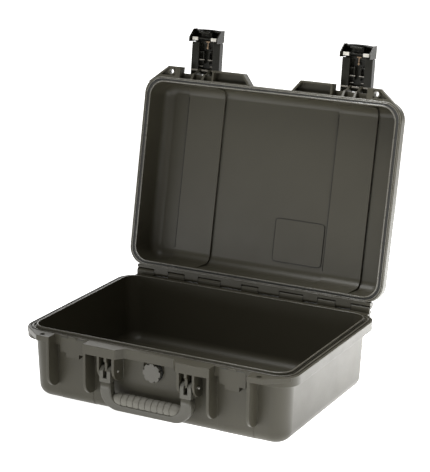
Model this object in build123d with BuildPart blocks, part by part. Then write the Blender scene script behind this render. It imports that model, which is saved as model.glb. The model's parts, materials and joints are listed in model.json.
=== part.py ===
"""Hard equipment case with a hinged lid, two pull latches, a folding handle and a purge valve.

Millimetres, +Z up.  The origin is the middle of the flat underside, +X is to the right and
-Y is the front with the handle.  The lid is drawn closed and then swung open about the hinge.
"""

import os

from build123d import *

os.makedirs("parts", exist_ok=True)

# Base tub: half sizes are given at the underside (foot) and at the parting plane (mouth).
parting_height = 112.0
wall_foot = (215.0, 148.5)
wall_mouth = (219.6, 152.0)
wall_thickness = 3.4
wall_corner = 26.0
floor_thickness = 4.5
foot_radius = 18.0
latch_zone = (107.0, 166.0)
latch_zone_step = 0.8

# Flange round both mouths, and the rings that seal them.
flange_half = (231.0, 160.0)
flange_corner = 30.0
flange_height = 16.0
flange_edge = 1.4
rim_inner_half = (215.6, 148.1)
rim_inner_corner = 22.6
tongue_height = 3.0
tongue_share = 0.20
lip_share = 0.27
ridge_shares = (0.43, 0.63, 0.76)
gasket_shares = (0.40, 0.68)
groove_depth = 1.6
gasket_depth = 4.0

# Lid, drawn closed.
lid_gap = 0.4
lid_parting = parting_height + lid_gap
lid_top = 169.5
lid_mouth = (223.2, 154.6)
lid_crown = (219.6, 151.6)
lid_corner = 27.0
lid_radius = 20.0
lid_band = (104.0, 171.5)
lid_band_start = 114.0
lid_band_depth = 4.0
lid_open_angle = 101.07
panel_x = (10.5, 98.5)
panel_y = (53.0, 124.0)
panel_corner = 6.0
panel_step = 1.0
pocket_floor = 3.0

# Hinge along X behind the flange.
hinge_y = 170.0
hinge_z = 117.5
knuckle_radius = 5.2
hinge_pin_radius = 1.5
running_gap = 0.05
knuckle_gap = 0.4
rail_half_length = 212.8
base_knuckles = [(-15.4, 15.4), (53.9, 96.0), (121.8, 153.3), (180.3, 212.8)]
lid_knuckles = [(15.4, 53.9), (96.0, 121.8), (153.3, 180.3)]

# Front brackets that carry the handle, ears for padlocks and plates for the latches.
front_plane = -178.0
bar_front = -165.0
bracket_x = (52.5, 107.3)
bracket_bottom = 97.0
thin_fins = [(53.0, 57.6), (79.0, 83.0)]
middle_fin = (66.0, 70.4)
middle_fin_radius = 9.2
wall_fins = [(102.8, 107.3), (168.0, 172.5)]
ear_plate = 8.0
ear_wall = (168.0, 178.0)
padlock_at = (184.0, -169.5)
padlock_radius = 4.0
padlock_wall = 2.2
latch_web = (125.0, 128.4)
latch_web_front = -168.0
catch_front = -160.5
catch_half_width = 22.0
catch_bottom = 85.5
tab_half_width = 11.5
tab_bottom = 78.5

# Handle.
handle_pin_y = -166.0
handle_pin_z = 74.8
handle_pin_radius = 2.0
handle_pin_x = (51.6, 86.4)
handle_half_width = 78.0
handle_back = -163.5
handle_bottom = 15.5
cover_top = 58.0
prong_top = 83.0
prongs = [(59.4, 65.4), (72.0, 78.0)]
crotch_height = 64.5
prong_root = 6.0
grip_radius = 10.5
grip_z = 31.5
grip_y = -168.0
grip_half_length = 56.0
rib_pitch = 10.4
rib_count = 9

# Latches.  Each is drawn about its pin, pointing along -Y, with its outer face up.
latch_centre = 136.3
latch_pin_y = -173.0
latch_pin_z = 143.5
latch_pin_radius = 1.6
latch_swing = 5.0
latch_half_width = 26.2
latch_back = 5.4
latch_length = 49.6
latch_end = (-49.7, -47.6)
latch_lip_end = -52.0
latch_lip_z = (3.4, 6.0)
latch_end_half = 21.5
latch_ear_x = (21.8, 24.4)
latch_ear_z = (4.5, 7.4)
latch_ear_end = -54.0
latch_outer = 9.0
latch_floor = 6.2
latch_rim = -4.0
latch_channel = 13.2
clevis_fins = [(-12.0, -8.0), (8.0, 12.0)]
latch_barrel_radius = 4.0
latch_hole = (4.2, -30.0)
latch_hole_radius = 1.7
rib_x = (4.6, 6.0)
rib_z = (-1.0, 7.2)
rib_y = (-35.0, -14.0)
rung_y = [(-19.6, -18.2), (-34.4, -33.0)]
button_half_width = 26.4
button_cheek = 1.8
button_end = 71.0
button_pin_at = 51.5
button_pin_height = 7.5
button_pin_radius = 1.0
hook_top = 65.5
web_at = (-57.5, -56.0)
web_depth = (-11.4, 6.5)

# Purge valve in the front wall, below the bar.  The bay is the shallow recess behind the handle.
valve_height = 78.5
knob_radius = 15.0
knob_front = -158.0
stem_radius = 9.0
stem_end = 135.0
stem_length = 19.0
vent_radius = 5.0
valve_flange_radius = 12.5
o_ring_radii = (14.2, 12.7)
nut_radius = 14.0
nut_height = 6.0
notch_radius = 1.9
notch_count = 8
knob_thickness = 3.6
knob_stem_radius = 4.93
boss_face = 143.0
boss_face_to_wall = 7.0
boss_radius = 17.0
bay_half_width = 52.4
bay_face = -150.2
pocket_face = -147.4

hinge_axis = Axis((0, hinge_y, hinge_z), (1, 0, 0))
skirt_bottom = parting_height - flange_height
skirt_top = lid_parting + flange_height


def save(piece, name):
    """Label a finished piece and write its STEP file."""
    piece.part.label = name
    export_step(piece.part, f"parts/{name}.step")


def on_open_lid(closed, place=Location()):
    """Move a piece to its place on the closed lid, then swing it open with the lid."""
    with BuildPart() as opened:
        add(closed.moved(place).rotate(hinge_axis, -lid_open_angle))
    return opened


def slab(x, y, z):
    """Rectangular block between limits along X, Y and Z."""
    with BuildPart() as block:
        with Locations(((x[0] + x[1]) / 2, (y[0] + y[1]) / 2, (z[0] + z[1]) / 2)):
            Box(x[1] - x[0], y[1] - y[0], z[1] - z[0])
    return block.part


def rod(radius, x, y, z):
    """Round rod along X between two limits."""
    with BuildPart() as bar:
        with BuildSketch(Plane.YZ.offset(x[0])):
            with Locations((y, z)):
                Circle(radius)
        extrude(amount=x[1] - x[0])
    return bar.part


def tub(open_z, closed_z, open_half, closed_half, corner, edge_radius):
    """Tapered solid with rounded corners and one rounded end, the closed one."""
    with BuildPart() as form:
        with BuildSketch(Plane.XY.offset(open_z)):
            RectangleRounded(2 * open_half[0], 2 * open_half[1], corner)
        with BuildSketch(Plane.XY.offset(closed_z)):
            RectangleRounded(2 * closed_half[0], 2 * closed_half[1], corner)
        loft()
        closed_end = form.edges().filter_by_position(Axis.Z, closed_z - 0.01, closed_z + 0.01)
        fillet(closed_end, edge_radius)
    return form.part


def inset(half, amount):
    """Half sizes reduced by the same amount on every side."""
    return (half[0] - amount, half[1] - amount)


def rim_half(share):
    """Half sizes and corner radius of a ring line, from the inner edge (0) to the flange edge (1)."""
    half = [a + share * (b - a) for a, b in zip(rim_inner_half, flange_half)]
    return half, rim_inner_corner + share * (flange_corner - rim_inner_corner)


def ring(inner_share, outer_share, z):
    """Flat ring that follows the rim, between two ring lines and two heights."""
    with BuildPart() as band:
        with BuildSketch(Plane.XY.offset(z[0])):
            half, corner = rim_half(outer_share)
            RectangleRounded(2 * half[0], 2 * half[1], corner)
            half, corner = rim_half(inner_share)
            RectangleRounded(2 * half[0], 2 * half[1], corner, mode=Mode.SUBTRACT)
        extrude(amount=z[1] - z[0])
    return band.part


def side_plate(x, points, hole=None):
    """Flat plate across X with a YZ outline, and an optional round hole (y, z, radius)."""
    with BuildPart() as plate:
        with BuildSketch(Plane.YZ.offset(x[0])):
            with BuildLine():
                Polyline(*points, close=True)
            make_face()
            if hole:
                with Locations((hole[0], hole[1])):
                    Circle(hole[2], mode=Mode.SUBTRACT)
        extrude(amount=x[1] - x[0])
    return plate.part


def bracket_fin(x, top, front_bottom, wall_bottom):
    """Upright fin on the front wall, whose lower end curves back to the wall."""
    root = -wall_foot[1] + 0.8
    with BuildPart() as fin:
        with BuildSketch(Plane.YZ.offset(x[0])):
            with BuildLine():
                Polyline((root, wall_bottom), (root, top), (front_plane, top), (front_plane, front_bottom))
                TangentArc((front_plane, front_bottom), (root, wall_bottom), tangent=(0, -1))
            make_face()
        extrude(amount=x[1] - x[0])
        front_edges = fin.edges().filter_by_position(Axis.Y, front_plane - 0.01, front_plane + 0.01)
        fillet(front_edges.filter_by(Axis.Z), 0.8)
    return fin.part


def plan_block(points, z, corner=0):
    """Upright block with an XY outline between two heights, and corners rounded on request."""
    with BuildPart() as block:
        with BuildSketch(Plane.XY.offset(z[0])):
            with BuildLine():
                Polyline(*points, close=True)
            make_face()
        extrude(amount=z[1] - z[0])
        if corner:
            front_corners = block.edges().filter_by(Axis.Z).filter_by_position(Axis.Y, -200, -158)
            fillet(front_corners, corner)
            fillet(block.edges().group_by(Axis.Z)[-1], 0.6)
    return block.part


def flange_slab(z):
    """Full plate of the flange outline between two heights, with its edges rounded."""
    with BuildPart() as plate:
        with BuildSketch(Plane.XY.offset(z[0])):
            RectangleRounded(2 * flange_half[0], 2 * flange_half[1], flange_corner)
        extrude(amount=z[1] - z[0])
        fillet(plate.edges().group_by(Axis.Z)[0] + plate.edges().group_by(Axis.Z)[-1], flange_edge)
    return plate.part


# ---------------------------------------------------------------- base shell
ear_outline = [(168, -150), (168, front_plane), (190, front_plane), (225, -149.5), (221, -142)]
bar_half = [(39, bar_front), (42, bar_front - 1), (50.5, front_plane + 1.2), (bracket_x[0], front_plane)]
bar_half += [(bracket_x[1], front_plane), (bracket_x[1], -150)]
bar_outline = bar_half + [(-x, y) for x, y in reversed(bar_half)]

tub_outer = tub(parting_height, 0, wall_mouth, wall_foot, wall_corner, foot_radius)
tub_zone = tub(parting_height, 0, inset(wall_mouth, -latch_zone_step), inset(wall_foot, -latch_zone_step),
               wall_corner, foot_radius)
tub_cavity = tub(parting_height + 6, floor_thickness, inset(wall_mouth, wall_thickness),
                 inset(wall_foot, wall_thickness), wall_corner - wall_thickness, foot_radius - 3)
zone_blocks = [slab(latch_zone, (-170, 170), (0, parting_height))]
fins = [bracket_fin(x, bracket_bottom, 79, 60) for x in thin_fins]
fins += [bracket_fin(x, top, 50, 30) for x, top in zip(wall_fins, (bracket_bottom, parting_height))]
base_rail = [(157, parting_height), (157, 97), (162, 97), (174.4, parting_height)]
base_arm = [(164.8, 110), (172, 110), (175.2, 114), (175.2, hinge_z), (164.8, hinge_z)]

with BuildPart() as middle_fins:
    with BuildSketch(Plane.YZ.offset(middle_fin[0])):
        with BuildLine():
            nose = (handle_pin_y - middle_fin_radius, handle_pin_z)
            chin = (handle_pin_y, handle_pin_z - middle_fin_radius)
            Polyline(chin, (-150, chin[1]), (-150, bracket_bottom), (front_plane, bracket_bottom),
                     (front_plane, 91), (nose[0], 88), nose)
            RadiusArc(nose, chin, middle_fin_radius)
        make_face()
    extrude(amount=middle_fin[1] - middle_fin[0])

with BuildPart() as latch_zones:
    add(zone_blocks)
    mirror(about=Plane.YZ)
    add(tub_zone, mode=Mode.INTERSECT)

with BuildPart() as bracketry:
    add(plan_block(ear_outline, (parting_height - ear_plate, parting_height), 1.0))
    add(fins + [middle_fins.part])
    add(slab((latch_centre - catch_half_width, latch_centre + catch_half_width),
             (catch_front, -150), (catch_bottom, parting_height)))
    add(slab((latch_centre - tab_half_width, latch_centre + tab_half_width),
             (catch_front, -150), (tab_bottom, catch_bottom)))
    add(slab((latch_centre - 10.5, latch_centre + 10.5), (catch_front - 1, -157.6),
             (parting_height - 3, parting_height)), mode=Mode.SUBTRACT)
    with Locations((padlock_at[0], padlock_at[1], parting_height)):
        Hole(padlock_radius)
    add(side_plate((0, rail_half_length), base_rail))
    for x in base_knuckles:
        add(side_plate(x, base_arm))
        add(rod(knuckle_radius, x, hinge_y, hinge_z))
    mirror(about=Plane.YZ)
    add(plan_block(bar_outline, (bracket_bottom, parting_height), 1.0))

with BuildPart() as base_cavity:
    add(tub_cavity)
    with BuildSketch(Plane.XZ.offset(boss_face)):
        with Locations((0, valve_height)):
            Circle(boss_radius)
    extrude(amount=boss_face_to_wall, mode=Mode.SUBTRACT)

with BuildPart() as tongue:
    add(ring(-0.02, tongue_share, (parting_height - 1, parting_height + tongue_height)))
    fillet(tongue.edges().group_by(Axis.Z)[-1], 1.0)

with BuildPart() as base_shell:
    add([tub_outer, latch_zones.part])
    add(flange_slab((skirt_bottom, parting_height)))
    add(ring(0.38, 0.78, (skirt_bottom, parting_height - 5)), mode=Mode.SUBTRACT)
    add(bracketry.part)
    add(tongue.part)
    groove_z = (parting_height - groove_depth, parting_height + 1)
    add(ring(lip_share, ridge_shares[0], groove_z), mode=Mode.SUBTRACT)
    add(ring(*ridge_shares[1:], groove_z), mode=Mode.SUBTRACT)
    add(base_cavity.part, mode=Mode.SUBTRACT)
    add(slab((-bay_half_width, bay_half_width), (-155, bay_face), (20, bracket_bottom)), mode=Mode.SUBTRACT)
    add(slab((-17.5, 17.5), (-155, pocket_face), (valve_height, bracket_bottom)), mode=Mode.SUBTRACT)
    with BuildSketch(Plane.XZ.offset(-pocket_face)):
        with Locations((0, valve_height)):
            Circle(knob_radius + 0.6)
    extrude(amount=10, mode=Mode.SUBTRACT)
    with BuildSketch(Plane.XZ.offset(130)):
        with Locations((0, valve_height)):
            Circle(stem_radius + running_gap)
    extrude(amount=40, mode=Mode.SUBTRACT)
    add(rod(hinge_pin_radius + running_gap, (-230, 230), hinge_y, hinge_z), mode=Mode.SUBTRACT)
    for side in (-1, 1):
        x = sorted((side * 50, side * 88))
        add(rod(handle_pin_radius + running_gap, x, handle_pin_y, handle_pin_z), mode=Mode.SUBTRACT)
save(base_shell, "base_shell")

with BuildPart() as hinge_pin:
    add(rod(hinge_pin_radius, (-213.5, 213.5), hinge_y, hinge_z))
    chamfer(hinge_pin.edges(), 0.4)
save(hinge_pin, "hinge_pin")

for side, name in ((-1, "left"), (1, "right")):
    with BuildPart() as handle_pin:
        x = sorted(side * end for end in handle_pin_x)
        add(rod(handle_pin_radius, x, handle_pin_y, handle_pin_z))
        chamfer(handle_pin.edges(), 0.5)
    save(handle_pin, f"handle_pin_{name}")

# ---------------------------------------------------------------- lid shell
band_x = [lid_band, (-lid_band[1], -lid_band[0])]
band_skin = wall_thickness
core_mouth = rim_half(lip_share)[0]
core_corner = lid_corner - 3.2
core_crown = inset(lid_crown, wall_thickness)
core_top = lid_top - wall_thickness
lid_outer = tub(lid_parting, lid_top, lid_mouth, lid_crown, lid_corner, lid_radius)
lid_channel = tub(lid_parting, lid_top - lid_band_depth, lid_mouth, inset(lid_crown, lid_band_depth),
                  lid_corner, lid_radius - 2)
lid_core = tub(lid_parting - 2, core_top, core_mouth, core_crown, core_corner, lid_radius - wall_thickness)
lid_core_band = tub(lid_parting - 2, core_top - lid_band_depth, core_mouth,
                    inset(core_crown, lid_band_depth), core_corner, lid_radius - 5)

with BuildPart() as channels:
    add([slab((x[0] + band_skin, x[1] - band_skin), (-170, 170), (skirt_top, lid_top + 1)) for x in band_x])
    add(lid_channel, mode=Mode.SUBTRACT)

with BuildPart() as inner_bands:
    add([slab(x, (-170, 170), (lid_band_start, lid_top)) for x in band_x])
    add(lid_core_band, mode=Mode.SUBTRACT)

with BuildPart() as lid_cavity:
    add(lid_core)
    add(inner_bands.part, mode=Mode.SUBTRACT)
    with BuildSketch(Plane.XY.offset(core_top - panel_step)):
        with Locations((sum(panel_x) / 2, sum(panel_y) / 2)):
            RectangleRounded(panel_x[1] - panel_x[0], panel_y[1] - panel_y[0], panel_corner)
    extrude(amount=5, mode=Mode.SUBTRACT)

bumper_outline = [(37.5, -157), (37.5, -160), (52, front_plane), (108, front_plane), (108, -157)]
bumper_pocket = [(42, -160.6), (53.4, front_plane + 3), (105, front_plane + 3), (105, -160.6)]
ear_pocket = [(ear_wall[1], -163), (ear_wall[1], front_plane + 3), (188.5, front_plane + 3), (203, -163)]
frame_z = (lid_parting, skirt_top)
ear_z = (lid_parting, lid_parting + ear_plate)
clevis_plate = [(-152, 113), (-160, 113), (-169.5, 120), (-170.6, 128), (-178.3, 142), (-178.3, 145), (-175, 148.8)]
clevis_plate += [(-171, 148.8), (-160, 142), (-152, 140)]
lid_rail = [(159.4, lid_parting), (164.3, lid_parting), (164.3, 119.5), (166.5, 122.6), (168, 123)]
lid_rail += [(166, 126.5), (159.4, skirt_top)]
lid_arm = [(159.4, lid_parting), (159.4, 126), (167, 122.4), (170, 122), (170, lid_parting)]

with BuildPart() as lid_front:
    for outline, pocket, z in ((bumper_outline, bumper_pocket, frame_z), (ear_outline, ear_pocket, ear_z)):
        add(plan_block(outline, z))
        add(plan_block(pocket, (z[0] - 1, z[1] - pocket_floor)), mode=Mode.SUBTRACT)
    add(slab(ear_wall, (front_plane, -158), frame_z))
    add(slab((bracket_x[1], ear_wall[0] + 1), (latch_web_front, -158), latch_web))
    for fin in clevis_fins:
        add(side_plate((latch_centre + fin[0], latch_centre + fin[1]), clevis_plate,
                       (latch_pin_y, latch_pin_z, latch_pin_radius)))
    with Locations((padlock_at[0], padlock_at[1], lid_parting + ear_plate / 2)):
        Cylinder(padlock_radius + padlock_wall, ear_plate)
        Cylinder(padlock_radius, ear_plate, mode=Mode.SUBTRACT)
    add(side_plate((0, rail_half_length), lid_rail))
    for x in lid_knuckles:
        clear = (x[0] + knuckle_gap, x[1] - knuckle_gap)
        add(side_plate(clear, lid_arm))
        add(rod(knuckle_radius, clear, hinge_y, hinge_z))
    mirror(about=Plane.YZ)

with BuildPart() as lid_closed:
    add(lid_outer)
    add(channels.part, mode=Mode.SUBTRACT)
    add(flange_slab(frame_z))
    add(lid_front.part)
    add(ring(*gasket_shares, (lid_parting - 1, lid_parting + gasket_depth)), mode=Mode.SUBTRACT)
    add(lid_cavity.part, mode=Mode.SUBTRACT)
    with BuildSketch(Plane.XY.offset(lid_top)):
        with Locations((sum(panel_x) / 2, sum(panel_y) / 2)):
            RectangleRounded(panel_x[1] - panel_x[0], panel_y[1] - panel_y[0], panel_corner)
    extrude(amount=-panel_step, mode=Mode.SUBTRACT)
    add(rod(hinge_pin_radius + running_gap, (-230, 230), hinge_y, hinge_z), mode=Mode.SUBTRACT)
save(on_open_lid(lid_closed.part), "lid_shell")

with BuildPart() as gasket:
    add(ring(gasket_shares[0], gasket_shares[1], (lid_parting + 0.3, lid_parting + gasket_depth)))
    fillet(gasket.edges().group_by(Axis.Z)[0], 1.2)
save(on_open_lid(gasket.part), "lid_gasket")

with BuildPart() as label_plate:
    with BuildSketch(Plane.XY.offset(lid_top - panel_step)):
        with Locations((sum(panel_x) / 2, sum(panel_y) / 2)):
            RectangleRounded(panel_x[1] - panel_x[0] - 1, panel_y[1] - panel_y[0] - 1, panel_corner - 0.5)
    extrude(amount=0.6)
save(on_open_lid(label_plate.part), "label_plate")

# ---------------------------------------------------------------- handle
leg_inner = prongs[0][0]
outer_bend = 30.0
inner_bend = 20.0
core_step = 4.0
inner_floor = 27.0
core_half = handle_half_width - core_step
core_inner = leg_inner + core_step
core_bottom = handle_bottom + 3.5
core_floor = inner_floor - 3.5

with BuildPart() as handle_solid:
    with BuildSketch(Plane.XZ.offset(-handle_back)):
        with BuildLine():
            outer = FilletPolyline(
                (-handle_half_width, cover_top), (-handle_half_width, handle_bottom),
                (handle_half_width, handle_bottom), (handle_half_width, cover_top), radius=outer_bend)
            inner = FilletPolyline(
                (-leg_inner, cover_top), (-leg_inner, inner_floor),
                (leg_inner, inner_floor), (leg_inner, cover_top), radius=inner_bend)
            Line(outer @ 0, inner @ 0)
            Line(outer @ 1, inner @ 1)
        make_face()
    extrude(amount=handle_back - front_plane)
    fillet(handle_solid.edges().filter_by_position(Axis.Y, front_plane - 0.01, front_plane + 0.01)
           .filter_by_position(Axis.Z, 0, cover_top - 0.5), 3.0)

with BuildPart() as handle_core:
    with BuildSketch(Plane.XZ.offset(-handle_back + core_step)):
        with BuildLine():
            outer = FilletPolyline(
                (-core_half, cover_top), (-core_half, core_bottom),
                (core_half, core_bottom), (core_half, cover_top), radius=outer_bend - core_step)
            inner = FilletPolyline(
                (-core_inner, cover_top), (-core_inner, core_floor),
                (core_inner, core_floor), (core_inner, cover_top), radius=inner_bend + core_step)
            Line(outer @ 0, inner @ 0)
            Line(outer @ 1, inner @ 1)
        make_face()
    extrude(amount=handle_back - front_plane - 2 * core_step)

with BuildPart() as fork_front:
    with BuildSketch(Plane.XZ.offset(-handle_back)):
        with Locations(((leg_inner + handle_half_width) / 2, (cover_top + crotch_height) / 2)):
            Rectangle(handle_half_width - leg_inner, crotch_height - cover_top)
        for x in prongs:
            with Locations(((x[0] + x[1]) / 2, (crotch_height - prong_root + prong_top) / 2)):
                SlotOverall(prong_top - crotch_height + prong_root, x[1] - x[0], rotation=90)
    extrude(amount=handle_back - front_plane)

with BuildPart() as fork:
    with BuildSketch(Plane.YZ.offset(leg_inner)):
        with BuildLine():
            Polyline((handle_back, prong_top - 4), (handle_back, cover_top), (front_plane, cover_top),
                     (front_plane, 76), (-171, prong_top), (handle_back - 0.5, prong_top), close=True)
        make_face()
    extrude(amount=handle_half_width - leg_inner)
    add(fork_front.part, mode=Mode.INTERSECT)
    add(rod(handle_pin_radius + running_gap, (50, 90), handle_pin_y, handle_pin_z), mode=Mode.SUBTRACT)
    mirror(about=Plane.YZ)

with BuildPart() as handle_frame:
    add([handle_core.part, fork.part])
save(handle_frame, "handle_frame")

with BuildPart() as handle_grip:
    add(handle_solid.part)
    add(rod(grip_radius, (-grip_half_length, grip_half_length), grip_y, grip_z))
    for index in range(rib_count):
        x = (index - (rib_count - 1) / 2) * rib_pitch
        with BuildSketch(Plane.YZ.offset(x - 0.5)):
            with Locations((grip_y, grip_z)):
                Circle(grip_radius + 1)
                Circle(grip_radius - 0.8, mode=Mode.SUBTRACT)
            with Locations((grip_y, grip_z - 12)):
                Rectangle(40, 12, mode=Mode.SUBTRACT)
        extrude(amount=1.0, mode=Mode.SUBTRACT)
    add(handle_core.part, mode=Mode.SUBTRACT)
save(handle_grip, "handle_grip")

# ---------------------------------------------------------------- purge valve
with BuildPart() as valve_body:
    with BuildSketch(Plane.XZ.offset(-pocket_face)):
        with Locations((0, valve_height)):
            Circle(valve_flange_radius)
    extrude(amount=2.2)
    with BuildSketch(Plane.XZ.offset(stem_end)):
        with Locations((0, valve_height)):
            Circle(stem_radius)
    extrude(amount=stem_length)
    with BuildSketch(Plane.XZ.offset(stem_end - 1)):
        with Locations((0, valve_height)):
            Circle(vent_radius)
    extrude(amount=30, mode=Mode.SUBTRACT)
save(valve_body, "valve_body")

with BuildPart() as valve_o_ring:
    with BuildSketch(Plane.XZ.offset(-pocket_face + 2)):
        with Locations((0, valve_height)):
            Circle(o_ring_radii[0])
            Circle(o_ring_radii[1], mode=Mode.SUBTRACT)
    extrude(amount=-1.6)
save(valve_o_ring, "valve_o_ring")

with BuildPart() as valve_nut:
    with BuildSketch(Plane.XZ.offset(boss_face - 0.2)):
        with Locations((0, valve_height)):
            RegularPolygon(nut_radius, 6)
            Circle(stem_radius, mode=Mode.SUBTRACT)
    extrude(amount=-nut_height)
save(valve_nut, "valve_nut")

with BuildPart() as valve_membrane:
    with BuildSketch(Plane.XZ.offset(140)):
        with Locations((0, valve_height)):
            Circle(vent_radius)
    extrude(amount=0.8)
save(valve_membrane, "valve_membrane")

with BuildPart() as valve_knob:
    with BuildSketch(Plane.XZ.offset(-knob_front)):
        with Locations((0, valve_height)):
            Circle(knob_radius)
        with Locations((0, valve_height)):
            with PolarLocations(knob_radius, notch_count, start_angle=180 / notch_count):
                Circle(notch_radius, mode=Mode.SUBTRACT)
    extrude(amount=-knob_thickness)
    with BuildSketch(Plane.XZ.offset(-knob_front - knob_thickness)):
        with Locations((0, valve_height)):
            Circle(knob_stem_radius)
    extrude(amount=-8)
    fillet(valve_knob.faces().sort_by(Axis.Y)[0].edges(), 0.6)
save(valve_knob, "valve_knob")

# ---------------------------------------------------------------- latches
hood_start = 55.0
body_section = [(latch_half_width, latch_rim), (latch_half_width, latch_outer - 1.6),
                (latch_half_width - 1.6, latch_outer), (0, latch_outer), (0, latch_floor),
                (latch_channel, latch_floor), (latch_channel, latch_rim)]
cheek_side = [(-50.3, 9.4), (-50.3, -16.4), (-58, -16.4), (-button_end, -2), (-button_end, 9.4)]
button_pin_hole = (-button_pin_at, button_pin_height, button_pin_radius + running_gap)

with BuildPart() as latch_body:
    with BuildSketch(Plane.XZ.offset(-latch_back)):
        with BuildLine():
            Polyline(*body_section, close=True)
        make_face()
    extrude(amount=latch_back + latch_length)
    add(slab(latch_ear_x, (latch_ear_end, -latch_length + 1), latch_ear_z))
    add(slab((0, latch_end_half), latch_end, (latch_lip_z[0], latch_outer)))
    add(slab((0, latch_end_half), (latch_lip_end, latch_end[1]), latch_lip_z))
    add(slab(rib_x, rib_y, rib_z))
    for y in rung_y:
        add(slab((rib_x[0], latch_channel + 1), y, rib_z))
    add(slab((0, 3), (-42, -38), (3.3, rib_z[1])))
    for x in ((0, clevis_fins[1][0] - 0.5), (clevis_fins[1][1] + 0.5, latch_half_width - 1)):
        add(slab(x, (-latch_barrel_radius + 0.2, latch_barrel_radius - 0.2), (0, rib_z[1])))
        add(rod(latch_barrel_radius, x, 0, 0))
    add(rod(latch_pin_radius + running_gap, (0, latch_half_width + 1), 0, 0), mode=Mode.SUBTRACT)
    add(rod(button_pin_radius + running_gap, (0, latch_half_width + 1), -button_pin_at, button_pin_height),
        mode=Mode.SUBTRACT)
    mirror(about=Plane.YZ)
    with Locations((*latch_hole, latch_floor)):
        Hole(latch_hole_radius)

with BuildPart() as latch_button:
    add(slab((-latch_end_half, latch_end_half), (-hood_start, -50.2), (6.4, 9.4)))
    with BuildSketch(Plane.XY.offset(6.4)):
        with BuildLine():
            side_end = (button_half_width, -button_end + 1.6)
            Polyline((-button_half_width, -button_end + 1.6), (-button_half_width, -hood_start),
                     (button_half_width, -hood_start), side_end)
            ThreePointArc(side_end, (0, -button_end), (-button_half_width, -button_end + 1.6))
        make_face()
    extrude(amount=3)
    for side in (-1, 1):
        x = sorted((side * (button_half_width - button_cheek), side * button_half_width))
        add(side_plate(x, cheek_side, button_pin_hole))
    add(slab((-button_half_width + 1, button_half_width - 1), web_at, web_depth))
    add(slab((-9.5, 9.5), (-hook_top, -57.5), (-4, 6.5)))
    add(slab((-9.5, 9.5), (-68, -hook_top), (-14, 6.5)))
    for x in (-6.5, -4, 2.5, 5):
        with BuildSketch(Plane.XY.offset(-5)):
            with BuildLine():
                Polyline((x, -64.5), (x + 0.9, -64.5), (x + 2.4, -58.5), (x + 1.5, -58.5), close=True)
            make_face()
        extrude(amount=1)
    add(slab((-1.6, 1.6), (-62, -61), (-5, -4)))
    add(rod(button_pin_radius + running_gap, (-22, 22), -button_pin_at, button_pin_height),
        mode=Mode.SUBTRACT)
    add(slab((-25, 25), (-button_end + 2, -button_end + 4), (3.5, 6.5)))

with BuildPart() as latch_pin:
    add(rod(latch_pin_radius, (-latch_half_width + 0.4, latch_half_width - 0.4), 0, 0))

with BuildPart() as button_pin:
    add(rod(button_pin_radius, (-26.2, 26.2), -button_pin_at, button_pin_height))

with BuildPart() as latch_spring:
    add(slab((-0.7, 0.7), (-49.6, -38), (2.5, 3.3)))
    add(slab((-3.6, 3.6), (-51.4, -49.6), (2.5, 3.3)))
    with BuildSketch(Plane.XY.offset(1.9)):
        with Locations((0, -40)):
            Circle(1.6)
    extrude(amount=0.6)

for side, name in ((-1, "left"), (1, "right")):
    place = Location((side * latch_centre, latch_pin_y, latch_pin_z), (latch_swing, 0, 0))
    save(on_open_lid(latch_body.part, place), f"latch_body_{name}")
    save(on_open_lid(latch_button.part, place), f"latch_button_{name}")
    save(on_open_lid(latch_pin.part, place), f"latch_pin_{name}")
    save(on_open_lid(button_pin.part, place), f"button_pin_{name}")
    save(on_open_lid(latch_spring.part, place), f"latch_spring_{name}")
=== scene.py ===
"""Looks of a hard equipment case: finishes, moulded details, floor, lights and camera.

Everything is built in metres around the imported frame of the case, stored with its lid open.
"""

from __future__ import annotations

import json
import logging
import math
from dataclasses import dataclass, field
from enum import Enum

import bmesh
import bpy
from mathutils import Matrix, Vector

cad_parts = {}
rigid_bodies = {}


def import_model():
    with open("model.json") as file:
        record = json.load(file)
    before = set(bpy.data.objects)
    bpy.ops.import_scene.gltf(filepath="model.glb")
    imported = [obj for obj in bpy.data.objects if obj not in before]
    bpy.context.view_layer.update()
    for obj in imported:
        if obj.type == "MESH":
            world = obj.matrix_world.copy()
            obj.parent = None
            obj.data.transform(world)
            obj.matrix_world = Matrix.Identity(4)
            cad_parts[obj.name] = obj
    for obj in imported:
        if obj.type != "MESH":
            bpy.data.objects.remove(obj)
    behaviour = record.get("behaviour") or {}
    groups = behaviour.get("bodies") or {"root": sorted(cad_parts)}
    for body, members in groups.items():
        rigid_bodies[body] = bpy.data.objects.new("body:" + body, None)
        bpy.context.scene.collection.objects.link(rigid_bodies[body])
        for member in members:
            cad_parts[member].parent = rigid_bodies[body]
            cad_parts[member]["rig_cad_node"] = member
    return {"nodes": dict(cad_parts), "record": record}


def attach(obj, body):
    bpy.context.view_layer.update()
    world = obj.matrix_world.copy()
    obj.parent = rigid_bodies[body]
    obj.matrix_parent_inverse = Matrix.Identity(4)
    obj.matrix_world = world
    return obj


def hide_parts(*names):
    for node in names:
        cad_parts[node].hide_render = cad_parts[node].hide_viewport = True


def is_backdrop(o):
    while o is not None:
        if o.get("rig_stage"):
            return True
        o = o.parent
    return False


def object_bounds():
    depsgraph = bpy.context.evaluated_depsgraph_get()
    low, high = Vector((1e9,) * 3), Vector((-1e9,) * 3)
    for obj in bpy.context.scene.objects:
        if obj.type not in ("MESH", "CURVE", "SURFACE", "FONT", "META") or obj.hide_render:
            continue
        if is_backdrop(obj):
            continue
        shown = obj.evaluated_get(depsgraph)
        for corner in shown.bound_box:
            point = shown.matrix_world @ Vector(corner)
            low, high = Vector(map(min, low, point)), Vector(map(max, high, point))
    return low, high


LOG = logging.getLogger("equipment_case")
MM = 0.001
Colour = tuple[float, float, float]
Corner = tuple[float, float, float]
Point = tuple[float, float]
Socket = bpy.types.NodeSocket
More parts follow.
